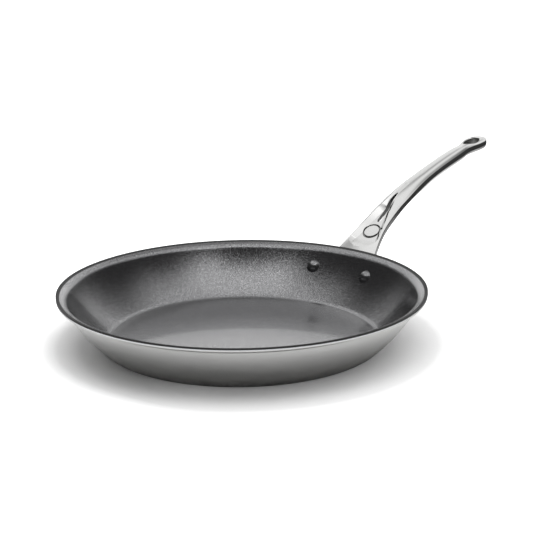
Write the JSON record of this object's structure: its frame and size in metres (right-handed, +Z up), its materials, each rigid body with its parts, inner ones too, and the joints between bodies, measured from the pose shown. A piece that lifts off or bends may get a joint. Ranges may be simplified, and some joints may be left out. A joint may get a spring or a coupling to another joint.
{
  "type": "frying pan",
  "caption": "Shallow round frying pan of clad steel sheet with a dark non-stick inside and a long cast metal handle held by rivets, with a hanging eye at its tip.",
  "frame": {"origin": "middle of the flat underside of the base, where the pan rests", "axes": "+X from the middle towards the handle's tip, +Z up out of the pan, +Y to the left of someone looking along the handle from the pan"},
  "size_m": [0.4793, 0.28, 0.1041],
  "materials": {
    "brushed_steel": "satin, brushed in circles round the axis",
    "aluminium": "plain",
    "nonstick": "satin charcoal coat with fine sparkle",
    "cast_steel": "mirror polished stainless steel",
    "rivet_steel": "satin"
  },
  "bodies": {
    "root": {"outer_steel_ply": "brushed_steel", "lower_bond_ply": "aluminium", "alloy_core_ply": "aluminium", "upper_bond_ply": "aluminium", "inner_steel_ply": "brushed_steel", "nonstick_coat": "nonstick", "handle": "cast_steel", "left_rivet": "rivet_steel", "right_rivet": "rivet_steel"}
  },
  "joints": []
}
